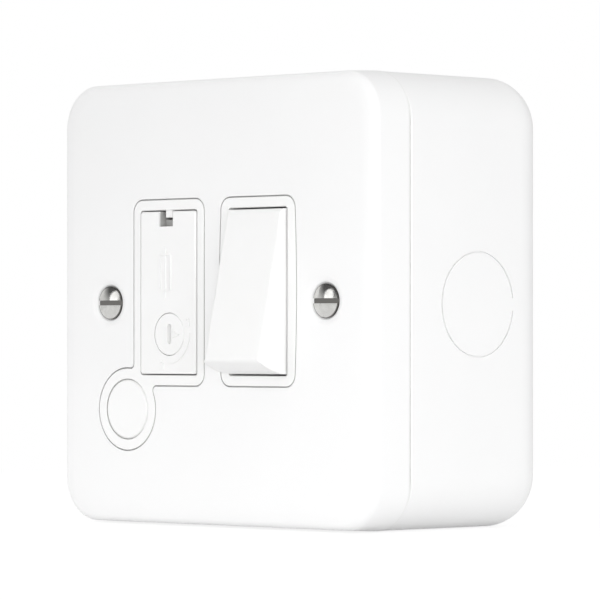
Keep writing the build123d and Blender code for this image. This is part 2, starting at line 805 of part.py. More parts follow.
for pole, x in pole_xs.items():
    plane = side_plane(x, seesaw_pivot_depth, module_z, seesaw_tilt)
    rivet_seat = (-groove_radius - rivet_offset * dish, rivet_offset)
    with BuildPart() as moving_contact:
        with BuildSketch(plane):
            Polygon(
                (seesaw_front, 0),
                (seesaw_front - seesaw_arm * dish, seesaw_arm),
                (-groove_radius - seesaw_arm * dish, seesaw_arm),
                (-groove_radius, 0),
                (-groove_radius - seesaw_arm * dish, -seesaw_arm),
                (seesaw_front - seesaw_arm * dish, -seesaw_arm),
                align=None,
            )
            with Locations((seesaw_front / 2, 0)):
                Rectangle(-seesaw_front, 2 * (groove_radius + seesaw_thickness))
            Circle(groove_radius, mode=Mode.SUBTRACT)
        extrude(amount=contact_width / 2, both=True)
        arm_lean = radians(seesaw_tilt + seesaw_dish)
        rivet_plane = Plane(
            origin=plane.from_local_coords((*rivet_seat, 0)),
            x_dir=(1, 0, 0),
            z_dir=(0, cos(arm_lean), sin(arm_lean)),
        )
        with BuildSketch(rivet_plane.offset(-seesaw_thickness / 2)):
            Circle(rivet_radius)
        extrude(amount=rivet_height + seesaw_thickness / 2)
    moving_contact.part.label = f"{pole}_moving_contact"
    export_step(moving_contact.part, f"parts/{pole}_moving_contact.step")

# Knife-edge brackets: the live one runs on to the fuse, the neutral one to its load terminal
for pole, way in (("live", 1), ("neutral", -1)):
    x = pole_xs[pole]
    base_front = pocket_floor - strip
    tail_z = way * (tail_offset + strip / 2)
    with BuildPart() as bracket:
        with BuildSketch(side_plane(x, 0, module_z)):
            with Locations((seesaw_pivot_depth, 0)):
                Circle(ridge_radius)
            with Locations(((seesaw_pivot_depth + base_front) / 2, 0)):
                Rectangle(base_front - seesaw_pivot_depth, strip)
            with Locations((base_front + strip / 2, way * strip)):
                Rectangle(strip, 2 * tail_offset)
            with Locations(((base_front + strip_rear) / 2, tail_z)):
                Rectangle(strip_rear - base_front, strip)
        extrude(amount=contact_width / 2, both=True)
        if pole == "live":
            slab(
                (clip_tail_x[0], x + contact_width / 2),
                (floor_rear, strip_rear),
                (module_z + tail_z - link_width / 2, module_z + tail_z + link_width / 2),
            )
        else:
            slab(
                (x - contact_width / 2, x + contact_width / 2),
                (floor_rear, strip_rear),
                (load_z - terminal_height / 2, module_z + tail_z + strip / 2),
            )
    bracket.part.label = f"{pole}_bracket"
    export_step(bracket.part, f"parts/{pole}_bracket.step")

# Fixed contacts: shelf in the pocket, leg through the floor, foot under the supply terminal
shelf_rivet_z = module_z + (rivet_offset + rivet_height * sin(radians(seesaw_dish)))
for pole, x in pole_xs.items():
    foot_z = supply_z - terminal_height / 2
    shelf_points = [
        (fixed_contact_depth, module_z + rivet_offset - 2 * rivet_radius),
        (fixed_contact_depth, fixed_leg_z),
        (strip_rear, fixed_leg_z),
        (strip_rear, foot_z),
    ]
    with BuildPart() as fixed_contact:
        add(bent_strip(side_plane(x), shelf_points, Side.RIGHT, contact_width, strip))
        rod([(x, shelf_rivet_z)], rivet_radius, (fixed_contact_depth - strip / 2,
                                                 fixed_contact_depth))
    fixed_contact.part.label = f"{pole}_fixed_contact"
    export_step(fixed_contact.part, f"parts/{pole}_fixed_contact.step")

# Cartridge fuse: ceramic tube body and two pressed end caps
fuse_plane = Plane(origin=(fuse_x, fuse_depth - total_depth, module_z))
body_radius = fuse_radius - fuse_cap_wall

with BuildPart() as fuse_body:
    with BuildSketch(fuse_plane.offset(fuse_cap_wall - fuse_length / 2)):
        Circle(body_radius)
    extrude(amount=fuse_length - 2 * fuse_cap_wall)
fuse_body.part.label = "fuse_body"
export_step(fuse_body.part, "parts/fuse_body.step")

with BuildPart() as fuse_caps:
    for way in (-1, 1):
        with BuildSketch(fuse_plane.offset(way * fuse_length / 2)):
            Circle(fuse_radius)
        extrude(amount=-way * fuse_cap_length)
    fillet(fuse_caps.edges().group_by(Axis.Z)[0], fuse_cap_wall)
    fillet(fuse_caps.edges().group_by(Axis.Z)[-1], fuse_cap_wall)
    with BuildSketch(fuse_plane.offset(fuse_cap_wall - fuse_length / 2)):
        Circle(body_radius)
    extrude(amount=fuse_length - 2 * fuse_cap_wall, mode=Mode.SUBTRACT)
fuse_caps.part.label = "fuse_caps"
export_step(fuse_caps.part, "parts/fuse_caps.step")

# Fuse clips: sprung jaws with flared lips, and a tail through the floor
jaw_lip = fuse_depth - fuse_radius
clip_base = pocket_floor - strip
jaw_points = [
    (clip_half + clip_lip, jaw_lip - clip_lip),
    (clip_half, jaw_lip),
    (clip_half, clip_base),
    (-clip_half, clip_base),
    (-clip_half, jaw_lip),
    (-clip_half - clip_lip, jaw_lip - clip_lip),
]
clip_tail_mid = sum(clip_tail_x) / 2
clip_tail_width = clip_tail_x[1] - clip_tail_x[0]

with BuildPart() as upper_fuse_clip:
    clip_z = module_z + clip_offset
    add(bent_strip(top_plane(fuse_x, clip_z), jaw_points, Side.RIGHT, clip_length, strip))
    tail_z = clip_tails[0]
    foot_z = module_z + tail_offset + strip / 2 - link_width / 2
    tail_points = [(clip_base, tail_z + 2 * strip), (clip_base, tail_z),
                   (strip_rear, tail_z), (strip_rear, foot_z)]
    add(bent_strip(side_plane(clip_tail_mid), tail_points, Side.LEFT, clip_tail_width, strip))
upper_fuse_clip.part.label = "upper_fuse_clip"
export_step(upper_fuse_clip.part, "parts/upper_fuse_clip.step")

with BuildPart() as lower_fuse_clip:
    clip_z = module_z - clip_offset
    add(bent_strip(top_plane(fuse_x, clip_z), jaw_points, Side.RIGHT, clip_length, strip))
    tail_z = clip_tails[1]
    tail_points = [(clip_base, tail_z + 2 * strip), (clip_base, tail_z),
                   (strip_rear, tail_z), (strip_rear, load_z + terminal_height / 2)]
    add(bent_strip(side_plane(clip_tail_mid), tail_points, Side.LEFT, clip_tail_width, strip))
lower_fuse_clip.part.label = "lower_fuse_clip"
export_step(lower_fuse_clip.part, "parts/lower_fuse_clip.step")

# Fuse carrier: faced panel with a screwdriver notch, side guides and a saddle for the fuse
carrier_half_width = pocket_width / 2 - carrier_gap
carrier_half_height = pocket_height / 2 - carrier_gap
panel_rear = carrier_panel - carrier_proud
guide_half_height = carrier_half_height - carrier_guide_inset
lock_seat = lock_thickness - carrier_proud
cam_front = panel_rear + slot_gap
cam_rear = cam_front + lock_cam_thickness

with BuildPart() as fuse_carrier:
    with BuildSketch(face_plane(-carrier_proud)):
        with Locations((fuse_x, module_z)):
            RectangleRounded(2 * carrier_half_width, 2 * carrier_half_height, pocket_corner)
    extrude(amount=-carrier_panel)
    fillet(fuse_carrier.faces().sort_by(Axis.Y)[0].outer_wire().edges(), carrier_round)
    for way in (-1, 1):
        inner = fuse_x + way * (carrier_half_width - carrier_wall)
        outer = fuse_x + way * carrier_half_width
        slab((inner, outer), (panel_rear, carrier_depth),
             (module_z - guide_half_height, module_z + guide_half_height))
    slab(
        (fuse_x - saddle_half_width, fuse_x + saddle_half_width),
        (panel_rear, fuse_depth + saddle_wrap),
        (module_z - saddle_half_height, module_z + saddle_half_height),
    )
    with BuildSketch(fuse_plane.offset(-saddle_half_height)):
        Circle(body_radius + running_gap)
    extrude(amount=2 * saddle_half_height, mode=Mode.SUBTRACT)
    carrier_top = module_z + carrier_half_height
    notch_bottom = carrier_top - notch_height
    slab((fuse_x - notch_left, fuse_x + notch_right),
         (-2 * carrier_proud, notch_depth - carrier_proud),
         (notch_bottom, carrier_top + carrier_gap), Mode.SUBTRACT)
    slab((fuse_x - notch_left, fuse_x + notch_right), (-2 * carrier_proud, carrier_depth),
         (tab_top - latch_tab_drop - latch_relief, carrier_top + carrier_gap), Mode.SUBTRACT)
    rod([lock_place], lock_radius + lock_gap, (-2 * carrier_proud, lock_seat),
        Mode.SUBTRACT)
    rod([lock_place], lock_shank_radius + running_gap, (lock_seat, panel_rear), Mode.SUBTRACT)
    rod([lock_place], lock_cam_radius + slot_gap, (panel_rear, cam_rear + slot_gap),
        Mode.SUBTRACT)
fuse_carrier.part.label = "fuse_carrier"
export_step(fuse_carrier.part, "parts/fuse_carrier.step")

# Quarter-turn lock: slotted disc, shank and retaining cam
with BuildPart() as fuse_lock:
    rod([lock_place], lock_radius, (-carrier_proud, lock_seat - running_gap))
    fillet(fuse_lock.edges().group_by(Axis.Y)[0], carrier_round / 2)
    rod([lock_place], lock_shank_radius, (lock_seat - running_gap, cam_front))
    rod([lock_place], lock_cam_radius, (cam_front, cam_rear))
    with BuildSketch(face_plane(-carrier_proud)):
        with Locations(lock_place):
            SlotOverall(lock_slot_length, lock_slot_width, rotation=90)
    extrude(amount=-lock_slot_depth, mode=Mode.SUBTRACT)
fuse_lock.part.label = "fuse_lock"
export_step(fuse_lock.part, "parts/fuse_lock.step")

# Earth strap: along the floor, over the pocket block and onto a plate stud
strap_top = block_top + slot_gap + strip
strap_points = [
    (strip_rear, load_z - terminal_height / 2),
    (strip_rear, strap_top),
    (flange_rear + strip, strap_top),
    (flange_rear + strip, block_top + stud_rise + washer_radius),
]

with BuildPart() as earth_strap:
    add(bent_strip(side_plane(earth_x), strap_points, Side.LEFT, contact_width, strip))
    foot_span = (flange_rear - strip, flange_rear + 2 * strip)
    rod(stud_places[:1], stud_radius + seat_gap, foot_span, Mode.SUBTRACT)
earth_strap.part.label = "earth_strap"
export_step(earth_strap.part, "parts/earth_strap.step")

# Pillar terminals and their clamp screws
wire_depth = strip_rear + terminal_depth / 2 - strip
clamp_reach = terminal_depth / 2 + strip - wire_radius
terminal_rear = strip_rear + terminal_depth

for name, (x, z) in terminal_places.items():
    with BuildPart() as terminal:
        slab((x - terminal_width / 2, x + terminal_width / 2), (strip_rear, terminal_rear),
             (z - terminal_height / 2, z + terminal_height / 2))
        fillet(terminal.edges().filter_by(Axis.Z), strip)
        with Locations((x, wire_depth - total_depth, z)):
            Cylinder(wire_radius, 2 * terminal_height, mode=Mode.SUBTRACT)
        rod([(x, z)], clamp_screw_radius + seat_gap, (wire_depth, terminal_rear),
            Mode.SUBTRACT)
    terminal.part.label = name
    export_step(terminal.part, f"parts/{name}.step")

clamp_screw = slotted_screw(
    screw_head_radius, screw_head_height, clamp_screw_radius, clamp_reach, screw_slot
)
with BuildPart() as terminal_screws:
    with Locations(*[rearward(x, terminal_rear, z) for x, z in terminal_places.values()]):
        add(clamp_screw)
terminal_screws.part.label = "terminal_screws"
export_step(terminal_screws.part, "parts/terminal_screws.step")

# Earth block on the floor of the box
block_rear = total_depth - sheet
block_front = block_rear - earth_block

with BuildPart() as box_earth_block:
    slab(
        (earth_block_offset - earth_block / 2, earth_block_offset + earth_block / 2),
        (block_front, block_rear),
        (-earth_block_offset - earth_block / 2, -earth_block_offset + earth_block / 2),
    )
    fillet(box_earth_block.edges().filter_by(Axis.Y), strip)
    with Locations((earth_block_offset, block_rear - earth_block / 2 - total_depth,
                    -earth_block_offset)):
        Cylinder(wire_radius, 2 * earth_block, rotation=(0, 90, 0), mode=Mode.SUBTRACT)
    rod([(earth_block_offset, -earth_block_offset)], clamp_screw_radius + seat_gap,
        (block_front, block_front + earth_block / 2), Mode.SUBTRACT)
box_earth_block.part.label = "box_earth_block"
export_step(box_earth_block.part, "parts/box_earth_block.step")

earth_screw = slotted_screw(
    screw_head_radius,
    screw_head_height,
    clamp_screw_radius,
    earth_block / 2 - wire_radius,
    screw_slot,
)
with BuildPart() as box_earth_screw:
    seat = Plane(
        origin=(earth_block_offset, block_front - total_depth, -earth_block_offset),
        x_dir=(1, 0, 0),
        z_dir=(0, -1, 0),
    )
    with Locations(seat.location):
        add(earth_screw)
box_earth_screw.part.label = "box_earth_screw"
export_step(box_earth_screw.part, "parts/box_earth_screw.step")
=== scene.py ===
from math import atan, pi, radians

import bmesh
import bpy
from mathutils import Matrix, Vector


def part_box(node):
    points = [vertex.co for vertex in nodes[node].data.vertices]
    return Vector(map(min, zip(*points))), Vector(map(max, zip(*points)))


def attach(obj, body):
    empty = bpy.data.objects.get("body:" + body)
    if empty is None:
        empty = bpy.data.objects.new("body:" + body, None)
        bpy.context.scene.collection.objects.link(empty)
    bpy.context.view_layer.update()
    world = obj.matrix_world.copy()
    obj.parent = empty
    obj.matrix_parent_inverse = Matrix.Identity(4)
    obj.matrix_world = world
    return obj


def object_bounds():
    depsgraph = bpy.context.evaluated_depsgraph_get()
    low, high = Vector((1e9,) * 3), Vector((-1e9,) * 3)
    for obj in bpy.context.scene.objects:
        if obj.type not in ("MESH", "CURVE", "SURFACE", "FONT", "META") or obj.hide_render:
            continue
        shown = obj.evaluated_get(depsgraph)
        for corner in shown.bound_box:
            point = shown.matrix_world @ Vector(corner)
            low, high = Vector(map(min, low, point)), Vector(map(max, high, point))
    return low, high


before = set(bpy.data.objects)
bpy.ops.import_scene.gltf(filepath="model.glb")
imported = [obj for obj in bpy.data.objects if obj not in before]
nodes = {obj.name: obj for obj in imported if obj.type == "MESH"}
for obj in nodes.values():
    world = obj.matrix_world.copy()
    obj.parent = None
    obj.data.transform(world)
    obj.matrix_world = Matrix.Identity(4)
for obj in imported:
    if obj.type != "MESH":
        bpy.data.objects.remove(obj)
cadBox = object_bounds()
print("frame loaded,", len(nodes), "nodes")

mm = 0.001


# small helpers

def linear(hexText):
    # sRGB hex to the linear colour that a socket takes
    parts = [int(hexText[i:i + 2], 16) / 255 for i in (1, 3, 5)]
    return tuple(p / 12.92 if p <= 0.04045 else ((p + 0.055) / 1.055) ** 2.4 for p in parts) + (1.0,)


def plugIn(tree, node, sources):
    for socket, source in sources.items():
        tree.links.new(source, node.inputs[socket])


def addNode(tree, kind, settings, links=None):
    node = tree.nodes.new(kind)
    for key, value in settings.items():
        if isinstance(key, int) or key in node.inputs:
            node.inputs[key].default_value = value
        else:
            setattr(node, key, value)
    plugIn(tree, node, links or {})
    return node


def perMetre(sizeMm):
    # texture scale for a feature of this size on object coordinates in metres
    return 1 / (sizeMm * mm)


def startMaterial(name, shader):
    material = bpy.data.materials.new(name)
    material.use_nodes = True
    tree = material.node_tree
    bsdf = tree.nodes["Principled BSDF"]
    for socket, value in shader.items():
        bsdf.inputs[socket].default_value = value
    place = addNode(tree, "ShaderNodeTexCoord", {}).outputs["Object"]
    return material, tree, bsdf, place


def finishPiece(name, shape, material, body):
    # bmesh to an object at the origin that rides on its body
    bmesh.ops.recalc_face_normals(shape, faces=shape.faces)
    mesh = bpy.data.meshes.new(name)
    shape.to_mesh(mesh)
    shape.free()
    mesh.materials.append(material)
    piece = bpy.data.objects.new(name, mesh)
    bpy.context.scene.collection.objects.link(piece)
    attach(piece, body)


# polyester powder coat on pressed steel: even white, broad soft gloss, faint orange peel
powderLook = {"white": "#F9F9F9", "shade": "#F5F5F5", "cloudMm": 26, "peelMm": 1.6,
              "peelDepth": 0.012 * mm, "roughness": (0.30, 0.38)}


def powderCoatedSteel(look):
    material, tree, bsdf, place = startMaterial("powderCoatedSteel", {"IOR": 1.5})
    smooth, rough = look["roughness"]
    cloud = addNode(tree, "ShaderNodeTexNoise", {"Scale": perMetre(look["cloudMm"]), "Detail": 2.0},
                    {"Vector": place})
    tone = addNode(tree, "ShaderNodeMix",
                   {"data_type": "RGBA", 6: linear(look["white"]), 7: linear(look["shade"])},
                   {0: cloud.outputs["Fac"]})
    gloss = addNode(tree, "ShaderNodeMapRange", {"To Min": smooth, "To Max": rough},
                    {"Value": cloud.outputs["Fac"]})
    peel = addNode(tree, "ShaderNodeTexNoise",
                   {"Scale": perMetre(look["peelMm"]), "Detail": 1.0, "Roughness": 0.4},
                   {"Vector": place})
    bump = addNode(tree, "ShaderNodeBump", {"Strength": 0.35, "Distance": look["peelDepth"]},
                   {"Height": peel.outputs["Fac"]})
    plugIn(tree, bsdf, {"Base Color": tone.outputs[2], "Roughness": gloss.outputs["Result"],
                        "Normal": bump.outputs["Normal"]})
    return material


# urea moulding from a polished tool: clean white, closer gloss, slight flow clouding
ureaLook = {"white": "#FAFAFA", "shade": "#F6F6F5", "flowMm": 9, "grainMm": 0.5,
            "grainDepth": 0.004 * mm, "roughness": (0.26, 0.34)}
# the rocker's tool is spark finished: a fine matt grain, drawn coarse enough to show
rockerLook = {"white": "#F9F9F9", "shade": "#F5F5F4", "flowMm": 12, "grainMm": 0.45,
              "grainDepth": 0.02 * mm, "roughness": (0.36, 0.44)}
# inner moulding: duller grade, no polish
innerLook = {"white": "#E4E3DE", "shade": "#D8D7D1", "flowMm": 7, "grainMm": 0.6,
             "grainDepth": 0.02 * mm, "roughness": (0.48, 0.6)}
# natural nylon of the plungers: milky off-white, softly clouded
nylonLook = {"white": "#E6E2D6", "shade": "#D9D4C5", "flowMm": 3, "grainMm": 0.3,
             "grainDepth": 0.006 * mm, "roughness": (0.4, 0.5)}


def mouldedPlastic(name, look):
    material, tree, bsdf, place = startMaterial(name, {"IOR": 1.55})
    smooth, rough = look["roughness"]
    flow = addNode(tree, "ShaderNodeTexNoise",
                   {"Scale": perMetre(look["flowMm"]), "Detail": 3.0, "Distortion": 0.6},
                   {"Vector": place})
    tone = addNode(tree, "ShaderNodeMix",
                   {"data_type": "RGBA", 6: linear(look["white"]), 7: linear(look["shade"])},
                   {0: flow.outputs["Fac"]})
    gloss = addNode(tree, "ShaderNodeMapRange", {"To Min": smooth, "To Max": rough},
                    {"Value": flow.outputs["Fac"]})
    grain = addNode(tree, "ShaderNodeTexNoise", {"Scale": perMetre(look["grainMm"]), "Detail": 2.0},
                    {"Vector": place})
    bump = addNode(tree, "ShaderNodeBump", {"Strength": 0.4, "Distance": look["grainDepth"]},
                   {"Height": grain.outputs["Fac"]})
    plugIn(tree, bsdf, {"Base Color": tone.outputs[2], "Roughness": gloss.outputs["Result"],
                        "Normal": bump.outputs["Normal"]})
    return material


# bright nickel on steel screws: mirror polish with faint rub marks and duller patches
nickelLook = {"bright": "#D6D6D4", "dull": "#BFBEBB", "patchMm": 1.1, "rubMm": 0.12,
              "rubDepth": 0.004 * mm, "roughness": (0.08, 0.18)}
# zinc plate: cooler and duller, mottled
zincLook = {"bright": "#C4C7CB", "dull": "#A6A9AC", "patchMm": 1.6, "rubMm": 0.25,
            "rubDepth": 0.008 * mm, "roughness": (0.28, 0.42)}
# hard drawn spring wire and strip: darker steel with draw lines
springLook = {"bright": "#A9ABAF", "dull": "#84868A", "patchMm": 0.9, "rubMm": 0.15,
              "rubDepth": 0.006 * mm, "roughness": (0.25, 0.38)}
# cold rolled sheet: grey with a rolled grain
sheetLook = {"bright": "#B7BABD", "dull": "#9A9DA0", "patchMm": 3.0, "rubMm": 0.3,
             "rubDepth": 0.01 * mm, "roughness": (0.34, 0.48)}
# extruded and stamped brass, handled enough to have dulled in places
brassLook = {"bright": "#D8B46A", "dull": "#B68F4C", "patchMm": 2.4, "rubMm": 0.22,
             "rubDepth": 0.008 * mm, "roughness": (0.2, 0.36)}
# contact brass of the see-saws, a little redder
contactLook = {"bright": "#D3A26C", "dull": "#AE8050", "patchMm": 1.8, "rubMm": 0.2,
               "rubDepth": 0.008 * mm, "roughness": (0.22, 0.36)}
# phosphor bronze strip of the fuse clips: warm, brown where it has dulled
bronzeLook = {"bright": "#C89A62", "dull": "#A3764A", "patchMm": 2.0, "rubMm": 0.2,
              "rubDepth": 0.008 * mm, "roughness": (0.24, 0.38)}
# plated end caps of the cartridge fuse: pale and fairly bright
capLook = {"bright": "#D2D2D0", "dull": "#B4B4B2", "patchMm": 1.4, "rubMm": 0.2,
           "rubDepth": 0.005 * mm, "roughness": (0.16, 0.28)}


def metalFinish(name, look):
    material, tree, bsdf, place = startMaterial(name, {"Metallic": 1.0})
    smooth, rough = look["roughness"]
    patch = addNode(tree, "ShaderNodeTexNoise", {"Scale": perMetre(look["patchMm"]), "Detail": 3.0},
                    {"Vector": place})
    tone = addNode(tree, "ShaderNodeMix",
                   {"data_type": "RGBA", 6: linear(look["bright"]), 7: linear(look["dull"])},
                   {0: patch.outputs["Fac"]})
    gloss = addNode(tree, "ShaderNodeMapRange",
                    {"From Min": 0.3, "From Max": 0.7, "To Min": smooth, "To Max": rough},
                    {"Value": patch.outputs["Fac"]})
    # rub marks run level: finer upwards than across
    stretch = addNode(tree, "ShaderNodeMapping", {"Scale": (1.0, 1.0, 6.0)}, {"Vector": place})
    rub = addNode(tree, "ShaderNodeTexNoise", {"Scale": perMetre(look["rubMm"]), "Detail": 1.0},
                  {"Vector": stretch.outputs["Vector"]})
    bump = addNode(tree, "ShaderNodeBump", {"Strength": 0.3, "Distance": look["rubDepth"]},
                   {"Height": rub.outputs["Fac"]})
    plugIn(tree, bsdf, {"Base Color": tone.outputs[2], "Roughness": gloss.outputs["Result"],
                        "Normal": bump.outputs["Normal"]})
    return material


# pressed steatite: warm white, unglazed, fine pores
ceramicLook = {"light": "#E9E5DA", "dark": "#D9D4C6", "poreMm": 0.35, "poreDepth": 0.03 * mm}


def pressedCeramic(look):
    material, tree, bsdf, place = startMaterial("pressedSteatite", {"IOR": 1.6, "Roughness": 0.62})
    pore = addNode(tree, "ShaderNodeTexVoronoi", {"Scale": perMetre(look["poreMm"])}, {"Vector": place})
    tone = addNode(tree, "ShaderNodeMix",
                   {"data_type": "RGBA", 6: linear(look["dark"]), 7: linear(look["light"])},
                   {0: pore.outputs["Distance"]})
    bump = addNode(tree, "ShaderNodeBump", {"Strength": 0.5, "Distance": look["poreDepth"]},
                   {"Height": pore.outputs["Distance"]})
    plugIn(tree, bsdf, {"Base Color": tone.outputs[2], "Normal": bump.outputs["Normal"]})
    return material


powder = powderCoatedSteel(powderLook)
urea = mouldedPlastic("polishedUrea", ureaLook)
# the carrier's urea gets painted shade in its screwdriver notch further down
carrierUrea = mouldedPlastic("notchShadedUrea", ureaLook)
# the front moulding's urea gets painted shade in the bezel gaps further down
mouldingUrea = mouldedPlastic("gapShadedUrea", ureaLook)
rockerUrea = mouldedPlastic("sparkFinishedUrea", rockerLook)
innerMoulding = mouldedPlastic("dullInnerMoulding", innerLook)
nylon = mouldedPlastic("naturalNylon", nylonLook)
nickel = metalFinish("brightNickelPlate", nickelLook)
zinc = metalFinish("zincPlate", zincLook)
springSteel = metalFinish("springSteel", springLook)
sheetSteel = metalFinish("coldRolledSheet", sheetLook)
brass = metalFinish("stampedBrass", brassLook)
contactBrass = metalFinish("contactBrass", contactLook)
bronze = metalFinish("phosphorBronze", bronzeLook)
capPlate = metalFinish("platedFuseCap", capLook)
ceramic = pressedCeramic(ceramicLook)
print("finishes mixed")


# painted shade on some of the finishes: darker tones in screw slots and rims, the carrier's notch, the seam
# and the bezel gaps

def insideRanges(tree, ranges):
    # 1 where the object coordinates lie in every range, 0 elsewhere
    place = addNode(tree, "ShaderNodeTexCoord", {})
    axes = addNode(tree, "ShaderNodeSeparateXYZ", {}, {0: place.outputs["Object"]})
    within = [addNode(tree, "ShaderNodeMath",
                      {"operation": "COMPARE", 1: (low + high) / 2, 2: (high - low) / 2},
                      {0: axes.outputs[axis]}).outputs[0] for axis, (low, high) in ranges.items()]
    inside = within[0]
    for other in within[1:]:
        both = addNode(tree, "ShaderNodeMath", {"operation": "MULTIPLY"}, {0: inside, 1: other})
        inside = both.outputs[0]
    return inside


def darkenWhere(tree, mask, tone):
    # the masked places take a darker tone than the finish round them
    base = tree.nodes["Principled BSDF"].inputs["Base Color"]
    mixed = addNode(tree, "ShaderNodeMix", {"data_type": "RGBA", 7: linear(tone)},
                    {0: mask, 6: base.links[0].from_socket})
    tree.links.new(mixed.outputs[2], base)


# painted shade: the plate screws' slots and the rims round their heads are coloured dark, so both read as
# dark lines of shade
screwShadeLook = {"tone": "#5E5C59", "slotHalf": 0.49 * mm, "axisX": 30.15 * mm, "rim": 3.16 * mm,
             "share": 0.85}


def shadeScrewSlotsAndRims(tree, look):
    inSlot = insideRanges(tree, {"Z": (-look["slotHalf"], look["slotHalf"])})
    place = addNode(tree, "ShaderNodeTexCoord", {})
    axes = addNode(tree, "ShaderNodeSeparateXYZ", {}, {0: place.outputs["Object"]})
    fromMiddle = addNode(tree, "ShaderNodeMath", {"operation": "ABSOLUTE"}, {0: axes.outputs["X"]})
    fromAxis = addNode(tree, "ShaderNodeMath", {"operation": "SUBTRACT", 1: look["axisX"]},
                       {0: fromMiddle.outputs[0]})
    outwards = addNode(tree, "ShaderNodeCombineXYZ", {}, {"X": fromAxis.outputs[0], "Z": axes.outputs["Z"]})
    reach = addNode(tree, "ShaderNodeVectorMath", {"operation": "LENGTH"}, {0: outwards.outputs[0]})
    onRim = addNode(tree, "ShaderNodeMath", {"operation": "GREATER_THAN", 1: look["rim"]},
                    {0: reach.outputs["Value"]})
    paintedShade = addNode(tree, "ShaderNodeMath", {"operation": "MAXIMUM"}, {0: inSlot, 1: onRim.outputs[0]})
    partly = addNode(tree, "ShaderNodeMath", {"operation": "MULTIPLY", 1: look["share"]},
                     {0: paintedShade.outputs[0]})
    darkenWhere(tree, partly.outputs[0], look["tone"])


# painted shade in the plate screws' slots and round their rims
shadeScrewSlotsAndRims(nickel.node_tree, screwShadeLook)

# painted shade: the carrier's screwdriver notch is coloured grey, for the shade that falls in the hollow
notchLook = {"tone": "#BDBDBB", "across": (-15.25 * mm, -11.15 * mm), "height": 3.05 * mm,
             "under": 0.4 * mm, "past": 1 * mm}
carrierLow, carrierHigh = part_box("fuse_carrier")
carrierFront = carrierLow.y
inNotch = insideRanges(carrierUrea.node_tree, {
    "X": notchLook["across"],
    "Y": (carrierFront + notchLook["under"], carrierHigh.y + notchLook["past"]),
    "Z": (carrierHigh.z - notchLook["height"], carrierHigh.z + notchLook["past"])})
darkenWhere(carrierUrea.node_tree, inNotch, notchLook["tone"])

# painted shade: the seam between plate and box is coloured as a fine grey line, for the shade in the gap
# between them
seamLook = {"tone": "#F0F0EF", "half": 0.45 * mm}
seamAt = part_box("back_box")[0].y
inSeam = insideRanges(powder.node_tree, {"Y": (seamAt - seamLook["half"], seamAt + seamLook["half"])})
darkenWhere(powder.node_tree, inSeam, seamLook["tone"])

# painted shade: the bezels' edges inside the plate's cut-outs are coloured grey, so the gaps stay dark from
# every side; the latch tab lies at the same depth but faces forward and stays white
gapLook = {"tone": "#CACAC8", "under": 0.1 * mm, "reach": 0.28 * mm,
           "tabAcross": (-13.73 * mm, -11.77 * mm), "tabHeight": (16.6 * mm, 18.2 * mm)}
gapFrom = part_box("front_moulding")[0].y + gapLook["under"]
tree = mouldingUrea.node_tree
inGap = insideRanges(tree, {"Y": (gapFrom, gapFrom + gapLook["reach"])})
onTab = insideRanges(tree, {"X": gapLook["tabAcross"], "Z": gapLook["tabHeight"]})
# painted shade in the bezel gaps, left off where the latch tab stands
dull = addNode(tree, "ShaderNodeMath", {"operation": "SUBTRACT", "use_clamp": True}, {0: inGap, 1: onTab})
darkenWhere(tree, dull.outputs[0], gapLook["tone"])

finishOf = {
    "front_plate": powder, "back_box": powder,
    "front_moulding": mouldingUrea, "flex_outlet_blank": urea,
    "fuse_carrier": carrierUrea, "fuse_lock": urea, "rocker": rockerUrea,
    "rear_moulding": innerMoulding, "cord_grip_bar": innerMoulding, "plungers": nylon,
    "plate_screws": nickel, "body_screws": zinc, "cord_grip_screws": zinc,
    "terminal_screws": zinc, "box_earth_screw": zinc,
    "left_lug": sheetSteel, "right_lug": sheetSteel,
    "plunger_springs": springSteel, "stud_washers": springSteel,
    "live_moving_contact": contactBrass, "neutral_moving_contact": contactBrass,
    "upper_fuse_clip": bronze, "lower_fuse_clip": bronze,
    "fuse_body": ceramic, "fuse_caps": capPlate,
}
for name, node in nodes.items():
    node.data.materials.clear()
    node.data.materials.append(finishOf.get(name, brass))  # what isn't listed is brass
print("finishes on", len(nodes), "nodes")


# raised marks on the carrier: fuse symbol, padlocks and the arc between them
markLook = {"stroke": 0.36 * mm, "rise": 0.18 * mm, "sink": 0.05 * mm, "round": 0.04 * mm,
            "sharpAngle": 50, "weld": 0.001 * mm}
fuseSign = {"x": -13.33 * mm, "bottom": 0.85 * mm, "top": 10.9 * mm,
            "boxWidth": 2.85 * mm, "boxBottom": 2.5 * mm, "boxTop": 9.4 * mm}
lockSign = {"x": -12.25 * mm, "z": -6.3 * mm, "arcRadius": 5.65 * mm, "arcStart": 2, "arcTurn": -94,
            "arcSteps": 24, "closedAt": (-7.1 * mm, -4.2 * mm), "openAt": (-14.4 * mm, -12.6 * mm),
            "bodySize": (1.25 * mm, 1.2 * mm), "shackle": 0.36 * mm, "shackleSteps": 10, "openSwing": 35}
arrowSign = {"inner": 0.95 * mm, "length": 1.95 * mm, "width": 1.25 * mm, "stroke": 0.26 * mm}


def raisedBar(shape, x, z, width, height, front):
    depth = markLook["rise"] + markLook["sink"]
    middle = front + (markLook["sink"] - markLook["rise"]) / 2
    place = Matrix.Translation((x, middle, z)) @ Matrix.Diagonal((width, depth, height, 1))
    return bmesh.ops.create_cube(shape, size=1, matrix=place)["verts"]


def raisedFrame(shape, x, z, width, height, stroke, front):
    for side in (-1, 1):
        raisedBar(shape, x + side * width / 2, z, stroke, height + stroke, front)
        raisedBar(shape, x, z + side * height / 2, width - stroke, stroke, front)


